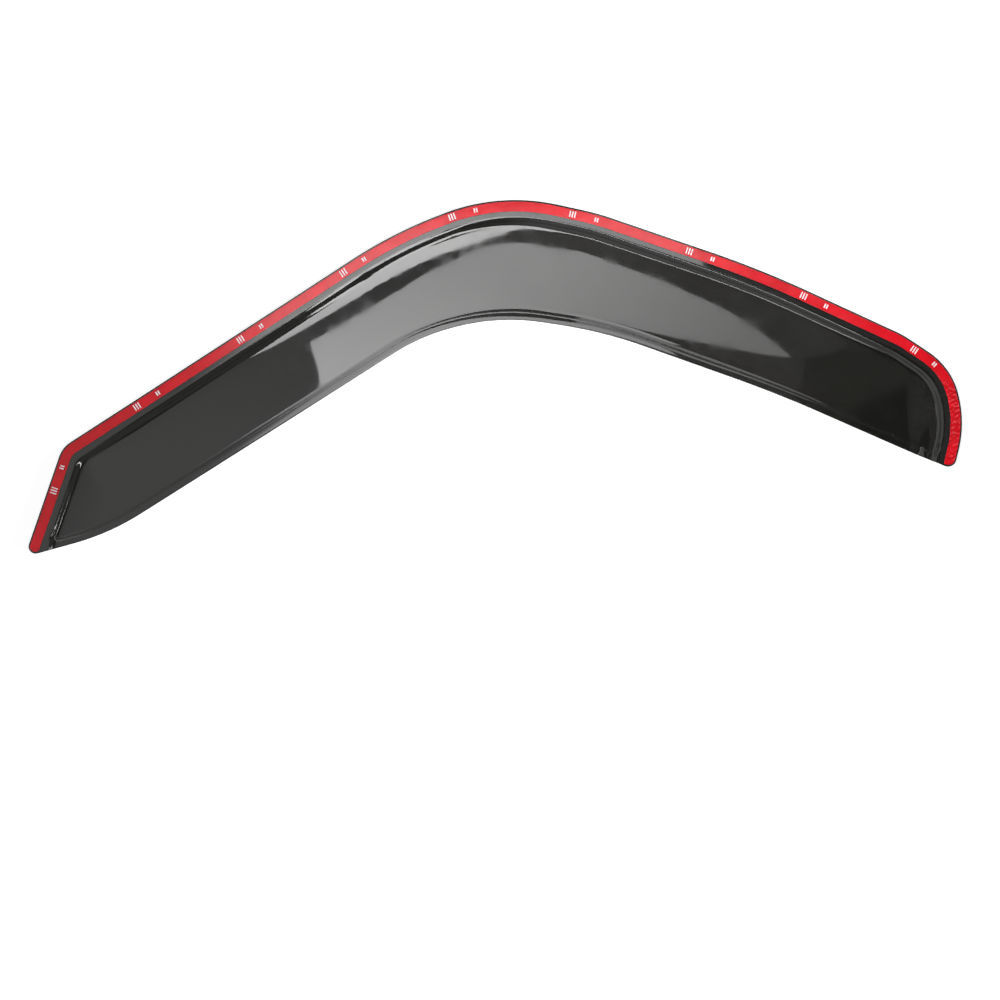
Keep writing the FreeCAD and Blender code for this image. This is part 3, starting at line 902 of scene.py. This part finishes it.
def unevenness_group():
    """Height made of broad waves and finer ones on top."""
    tree, given, out = new_group("soft_unevenness", {"Scale": 20.0, "Fine scale": 200.0, "Fine share": 0.2},
                                 ["Height"])
    place = tree.nodes.new("ShaderNodeTexCoord").outputs["Object"]
    broad = add_node(tree, "ShaderNodeTexNoise", {"Vector": place, "Scale": given["Scale"], "Detail": 1.0})
    fine = add_node(tree, "ShaderNodeTexNoise", {"Vector": place, "Scale": given["Fine scale"], "Detail": 2.0})
    share = calculate(tree, "MULTIPLY", fine.outputs["Fac"], given["Fine share"])
    tree.links.new(calculate(tree, "ADD", broad.outputs["Fac"], share), out["Height"])
    return tree


def handling_group():
    """Faint dull patches, as roughness from a least to a most value."""
    tree, given, out = new_group("handling_marks", {"Scale": 60.0, "Least": 0.03, "Most": 0.12}, ["Roughness"])
    place = tree.nodes.new("ShaderNodeTexCoord").outputs["Object"]
    patches = add_node(tree, "ShaderNodeTexNoise",
                       {"Vector": place, "Scale": given["Scale"], "Detail": 4.0, "Roughness": 0.62})
    spread = add_node(tree, "ShaderNodeMapRange",
                      {"Value": patches.outputs["Fac"], "From Min": 0.45, "From Max": 0.8,
                       "To Min": given["Least"], "To Max": given["Most"]})
    tree.links.new(spread.outputs["Result"], out["Roughness"])
    return tree


UNEVENNESS, HANDLING = unevenness_group(), handling_group()
print("node groups", [tree.name for tree in (UNEVENNESS, HANDLING)])


# %% A material with both effects
def plastic(name, colour, bump, waves, wear, **settings):
    """Plastic of one colour. Bump is in metres, waves and wear are inputs of the two groups."""
    material = bpy.data.materials.new(name)
    material.use_nodes = True
    tree = material.node_tree
    shader = tree.nodes["Principled BSDF"]
    for label, value in {"Base Color": colour, **settings}.items():
        shader.inputs[label.replace("_", " ")].default_value = value
    uneven = add_node(tree, "ShaderNodeGroup", waves, node_tree=UNEVENNESS)
    bent = add_node(tree, "ShaderNodeBump", {"Height": uneven.outputs[0], "Strength": 1.0, "Distance": bump})
    tree.links.new(bent.outputs["Normal"], shader.inputs["Normal"])
    dulled = add_node(tree, "ShaderNodeGroup", wear, node_tree=HANDLING)
    tree.links.new(dulled.outputs["Roughness"], shader.inputs["Roughness"])
    print("material", name)
    return material


# %% [markdown]
# ## Smoked acrylic
#
# The sheet is dark all through. It lets a little light pass and mirrors the studio in its polished skin, as
# any plastic does. A plain black plastic would look much the same from here, but not held up to the light.
# So it is glass with a very dark tint, and the grey shapes on it are nothing but reflections.

# %% Acrylic material
acrylic = plastic("smoked_acrylic", (0.0115, 0.0115, 0.0102, 1.0), 0.00001,
                  {"Scale": 14.0, "Fine scale": 160.0, "Fine share": 0.02},
                  {"Scale": 45.0, "Least": 0.025, "Most": 0.09}, Transmission_Weight=1.0, IOR=1.49)
shell.data.materials.append(acrylic)

# %% [markdown]
# ## Red film, white ink and foam
#
# The film is a glossy coloured plastic with a slightly wavy skin. One flat red would do at a distance, but
# the real one varies a little along its length, so a cloud of noise mixes two reds. The ink is matt. The
# foam is nearly black, with cells that only show as a fine grain.

# %% Film, ink and foam materials
FILM_REDS = {0.35: (0.60, 0.001, 0.008, 1.0), 0.65: (0.74, 0.002, 0.012, 1.0)}

red = plastic("red_liner_film", FILM_REDS[0.35], 0.00006,
              {"Scale": 120.0, "Fine scale": 900.0, "Fine share": 0.06},
              {"Scale": 90.0, "Least": 0.12, "Most": 0.22}, IOR=1.37)
film_nodes = red.node_tree
place = film_nodes.nodes.new("ShaderNodeTexCoord").outputs["Object"]
cloud = add_node(film_nodes, "ShaderNodeTexNoise", {"Vector": place, "Scale": 38.0, "Detail": 3.0})
ramp = add_node(film_nodes, "ShaderNodeValToRGB", {"Fac": cloud.outputs["Fac"]})
for stop, (position, colour) in zip(ramp.color_ramp.elements, FILM_REDS.items()):
    stop.position, stop.color = position, colour
film_nodes.links.new(ramp.outputs["Color"], film_nodes.nodes["Principled BSDF"].inputs["Base Color"])
film.data.materials.append(red)

foam.data.materials.append(plastic("tape_foam", (0.014, 0.014, 0.015, 1.0), 0.0002,
                                   {"Scale": 1800.0, "Fine scale": 5200.0, "Fine share": 0.5},
                                   {"Scale": 500.0, "Least": 0.7, "Most": 0.95}))
ink = plastic("white_ink", (0.83, 0.74, 0.78, 1.0), 0.00002,
              {"Scale": 400.0, "Fine scale": 2500.0, "Fine share": 0.4},
              {"Scale": 300.0, "Least": 0.4, "Most": 0.65})

# %% Run the marks tree
path, along_tape = tape_path(), marks_tree()
marks = [lay_marks(name, along_tape, path, ink, *kind) for name, kind in MARK_KINDS.items()]
bpy.data.objects.remove(path)

# %% [markdown]
# ## Riding on the frame
#
# Each piece rides on the one body, and the CAD solid that it stands for is hidden. The marks ride on the same
# body.

# %% Ride and replace
for piece, node, slot in ((shell, "visor_shell", "smoked_acrylic"), (foam, "foam_tape", "tape_foam"),
                          (film, "release_liner", "liner_film")):
    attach(piece, "root")
    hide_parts(node)
for piece in marks:
    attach(piece, "root")
print("riding on the root", [piece.name for piece in (shell, foam, film, *marks)])

# %% [markdown]
# ## The studio that the gloss mirrors
#
# A polished dark part shows its surroundings and little else. A picture of a studio wrapped round the scene
# would be quick, but its shapes could not be moved until they sit right on the part. Here the studio is a dim
# room and five light cards: a window for the panel, one card each for the flange, the step and the ceiling,
# and one for the outer side. Each card is an outline in degrees to the side and up, as seen from the part
# around the line to the camera, and it is bent onto a sphere. The step turns its mirror so fast that its card
# stands on a nearer sphere. Two black flags keep that card off the front step and the rear corner. All of
# this is only there for mirrored rays. The diffuse light comes from two area lamps and a pale sky.

# %% Places and glow of the studio
FAR, NEAR = 0.7, 0.45     # metres from the part
DARK = 1e-3


def seen_at(sideways, upwards, radius):
    """Point at an angle from the line to the camera, in degrees, and at a distance from the part."""
    angle = radians(hypot(sideways, upwards))
    away = (ACROSS * sideways + UPWARD * upwards).normalized() if angle > 0 else ACROSS
    return VIEW_CENTRE + (TOWARDS * cos(angle) + away * sin(angle)) * radius


def mirror_only(thing):
    for kind in ("camera", "diffuse", "transmission", "volume_scatter", "shadow"):
        setattr(thing, "visible_" + kind, False)
    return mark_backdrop(thing)


def glow_material(name, radius, stops):
    """Light that changes sideways. Each stop is an angle from the line to the camera and a strength."""
    material = bpy.data.materials.new(name)
    material.use_nodes = True
    tree = material.node_tree
    tree.nodes.clear()
    places = [seen_at(angle, 0.0, radius).dot(ACROSS) for angle, strength in stops]
    peak = max([DARK] + [strength for angle, strength in stops])
    place = tree.nodes.new("ShaderNodeTexCoord").outputs["Object"]
    along = add_node(tree, "ShaderNodeVectorMath", {0: place, 1: ACROSS}, operation="DOT_PRODUCT")
    share = add_node(tree, "ShaderNodeMapRange",
                     {"Value": along.outputs["Value"], "From Min": places[0], "From Max": places[-1]})
    ramp = add_node(tree, "ShaderNodeValToRGB", {"Fac": share.outputs["Result"]})
    for at in places[1:-1]:
        ramp.color_ramp.elements.new((at - places[0]) / (places[-1] - places[0]))
    for element, (angle, strength) in zip(ramp.color_ramp.elements, stops):
        element.color = [strength / peak] * 3 + [1.0]
    glow = add_node(tree, "ShaderNodeEmission", {"Color": ramp.outputs["Color"], "Strength": peak})
    add_node(tree, "ShaderNodeOutputMaterial", {"Surface": glow.outputs[0]})
    return material


# %% Light cards
CARD_EDGE_STEPS, CARD_GRID = 12, 24
CARD_MERGE = 1e-5


def card(name, radius, corners, stops):
    """A card with its corners in degrees sideways and up, bent onto a sphere of the given radius."""
    shares = [step / CARD_EDGE_STEPS for step in range(CARD_EDGE_STEPS)]
    ring = [(start[0] + (end[0] - start[0]) * share, start[1] + (end[1] - start[1]) * share)
            for start, end in zip(corners, corners[1:] + corners[:1]) for share in shares]
    across, upright = np.linspace(np.min(corners, axis=0), np.max(corners, axis=0), CARD_GRID).T
    inside = [(x, y) for x in across for y in upright]
    edges = [(index, (index + 1) % len(ring)) for index in range(len(ring))]
    flat = [Vector(point) for point in ring + inside]
    points, edges, faces = delaunay_2d_cdt(flat, edges, [], 1, CARD_MERGE)[:3]
    thing = add_mesh(name, [seen_at(*point, radius) for point in points], faces)
    thing.data.materials.append(glow_material(name, radius, stops))
    print(name, len(faces), "faces, strength", [strength for angle, strength in stops])
    return mirror_only(thing)


card("window_card", FAR, [
    (-12.6, 10.5), (-8.4, 6.7), (-5.6, 9.2), (-2.6, 12.1), (0.8, 13.7), (4.2, 12.2), (9.7, 10.2), (15.2, 9.4),
    (21.5, 9.0), (19.5, 10.6), (14.1, 14.5), (9.5, 17.2), (5.0, 20.0), (-3.0, 20.0), (-9.0, 14.5),
], [(-20.0, 9.8), (-10.0, 8.4), (0.0, 6.3), (6.0, 5.1), (19.0, 2.9)])
card("flange_card", FAR, [
    (-12.6, 10.5), (-9.0, 14.5), (-3.0, 20.0), (5.0, 20.0), (8.0, 18.4), (12.0, 17.8), (16.0, 18.4),
    (17.5, 24.0), (16.0, 28.5), (-26.0, 28.5), (-26.0, 9.0), (-19.0, 8.5),
], [(-25.0, 1.3), (-22.0, 2.6), (-19.5, 5.2), (-7.0, 6.8), (4.0, 6.0), (17.0, 5.0)])
card("step_card", NEAR, [
    (-19.6, 4.0), (-19.2, 8.6), (-16.0, 12.1), (-10.4, 16.9), (-5.9, 21.1), (-1.5, 24.0), (0.2, 25.2),
    (1.5, 24.2), (2.0, 22.0), (2.5, 16.0), (3.5, 9.0), (7.0, 1.0), (10.6, -7.0), (15.5, -16.0), (21.0, -25.0),
    (27.0, -34.0), (33.0, -44.0), (38.0, -56.0), (31.0, -58.0), (22.0, -44.0), (13.0, -28.0), (6.0, -15.0),
    (1.5, -4.0), (-2.0, 3.0), (-10.0, 1.5),
], [(-19.0, 8.6), (-5.0, 11.5), (38.0, 14.0)])
card("ceiling_card", FAR, [
    (9.0, 28.0), (20.0, 25.0), (44.0, 20.0), (72.0, 30.0), (60.0, 72.0), (16.0, 72.0),
], [(9.0, 3.2), (70.0, 1.8)])
card("back_card", FAR, [
    (-60.0, 118.0), (60.0, 118.0), (34.0, 152.0), (-34.0, 152.0),
], [(-60.0, 4.0), (60.0, 4.0)])


# %% Flags and room
ROOM_RADIUS = 0.9


def flag(name, sideways, upwards, depth):
    """A black flag, given by its limits sideways and up in metres and its distance from the part's plane."""
    (left, right), (bottom, top) = sideways, upwards
    corners = [(left, bottom), (right, bottom), (right, top), (left, top)]
    thing = add_mesh(name, [VIEW_CENTRE + ACROSS * u + UPWARD * v + TOWARDS * depth for u, v in corners],
                     [(0, 1, 2, 3)])
    thing.data.materials.append(glow_material(name, FAR, [(-1.0, 0.0), (1.0, 0.0)]))
    print(name, depth, "m from the part's plane")
    return mirror_only(thing)


flag("front_flag", (-0.29, -0.15), (-0.10, 0.006), 0.22)
flag("rear_flag", (0.29, 0.41), (-0.06, 0.13), 0.11)

bpy.ops.mesh.primitive_uv_sphere_add(segments=48, ring_count=24, radius=ROOM_RADIUS, location=VIEW_CENTRE)
room = bpy.context.object
room.name = "dim_room"
ROOM_GLOW = [(-14.0, 1.05), (-4.0, 0.75), (6.0, 0.25)]
room.data.materials.append(glow_material("dim_room", ROOM_RADIUS, ROOM_GLOW))
mirror_only(room)

# %% Lamps
def area_lamp(name, sideways, upwards, distance, size, power):
    """A round lamp at an angle from the line to the camera in degrees. Sizes are in metres, power in watts."""
    lamp = bpy.data.lights.new(name, "AREA")
    lamp.shape, lamp.size, lamp.energy = "DISK", size, power
    thing = add_object(name, lamp)
    thing.location = seen_at(sideways, upwards, distance)
    thing.rotation_euler = (VIEW_CENTRE - thing.location).to_track_quat("-Z", "Y").to_euler()
    thing.visible_glossy = False
    print(name, power, "W at", [round(value, 3) for value in thing.location])


area_lamp("soft_lamp_front", 15.0, 10.0, 0.68, 0.35, 5.0)
area_lamp("soft_lamp_back", -150.0, 60.0, 2.6, 1.8, 40.0)

# %% [markdown]
# ## White paper and sky
#
# The part hangs just in front of a sheet of white paper, which takes the soft shadow round its ends. A plain
# white world would be simpler, but has no shadow. The paper is clear from behind, so the outer side of the
# part can be looked at too, and a pale floor lies further down. Paper, floor and sky are white to the camera
# and to light that comes through the acrylic.

# %% Paper that glows
def white_ray(tree):
    """One for rays that should find white: seen directly, mirrored or through the acrylic."""
    rays = tree.nodes.new("ShaderNodeLightPath").outputs
    first = calculate(tree, "MAXIMUM", rays["Is Camera Ray"], rays["Is Glossy Ray"])
    return calculate(tree, "MAXIMUM", first, rays["Is Transmission Ray"])


def paper_material(name, glow, see_through):
    """Pale paper that looks white but keeps a shadow. It may be clear from behind."""
    material = bpy.data.materials.new(name)
    material.use_nodes = True
    tree = material.node_tree
    tree.nodes.clear()
    paper = add_node(tree, "ShaderNodeBsdfDiffuse", {"Color": (0.8, 0.8, 0.8, 1.0)})
    light = calculate(tree, "MULTIPLY", white_ray(tree), glow)
    shine = add_node(tree, "ShaderNodeEmission", {"Strength": light})
    surface = add_node(tree, "ShaderNodeAddShader", {0: paper.outputs[0], 1: shine.outputs[0]}).outputs[0]
    if see_through:
        back = tree.nodes.new("ShaderNodeNewGeometry").outputs["Backfacing"]
        clear = tree.nodes.new("ShaderNodeBsdfTransparent").outputs[0]
        surface = add_node(tree, "ShaderNodeMixShader", {"Fac": back, 1: surface, 2: clear}).outputs[0]
    add_node(tree, "ShaderNodeOutputMaterial", {"Surface": surface})
    return material


# %% Paper and floor
PAPER_GAP = 3.0 * MM
FLOOR_DROP = 0.55
PAPER_SIZE = 14.0


def sheet_of_paper(name, corners, material):
    thing = add_mesh(name, corners, [(0, 1, 2, 3)])
    thing.data.materials.append(material)
    for kind in ("diffuse", "glossy", "shadow"):
        setattr(thing, "visible_" + kind, False)
    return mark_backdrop(thing)


half = PAPER_SIZE / 2
wall_y = CAD_BOX[1][1] + PAPER_GAP
floor_z = CAD_BOX[0][2] - FLOOR_DROP
paper_corners = [(x, wall_y, z) for x, z in ((-half, floor_z), (half, floor_z), (half, half), (-half, half))]
floor_corners = [(x, y, floor_z) for x, y in ((-half, -half), (half, -half), (half, half), (-half, half))]
sheet_of_paper("paper", paper_corners, paper_material("paper_backdrop", 0.88, True))
sheet_of_paper("floor", floor_corners, paper_material("pale_floor", 0.84, False))
print("paper at y", round(wall_y, 4), "and floor at z", round(floor_z, 3))

# %% Sky
SKY_LIGHT = 0.15
world = bpy.data.worlds.new("pale_sky")
bpy.context.scene.world = world
world.use_nodes = True
sky = world.node_tree
glow = add_node(sky, "ShaderNodeMapRange", {"Value": white_ray(sky), "To Min": SKY_LIGHT, "To Max": 1.0})
background = sky.nodes["Background"].inputs
sky.links.new(glow.outputs["Result"], background["Strength"])
background["Color"].default_value = (1.0, 1.0, 1.0, 1.0)
print("sky", world.name, "lights with", SKY_LIGHT)

# %% [markdown]
# ## Finish
#
# The view transform stays plain, so a colour renders as it is written.

# %% Finish
bpy.context.scene.view_settings.view_transform = "Standard"
bpy.context.view_layer.update()
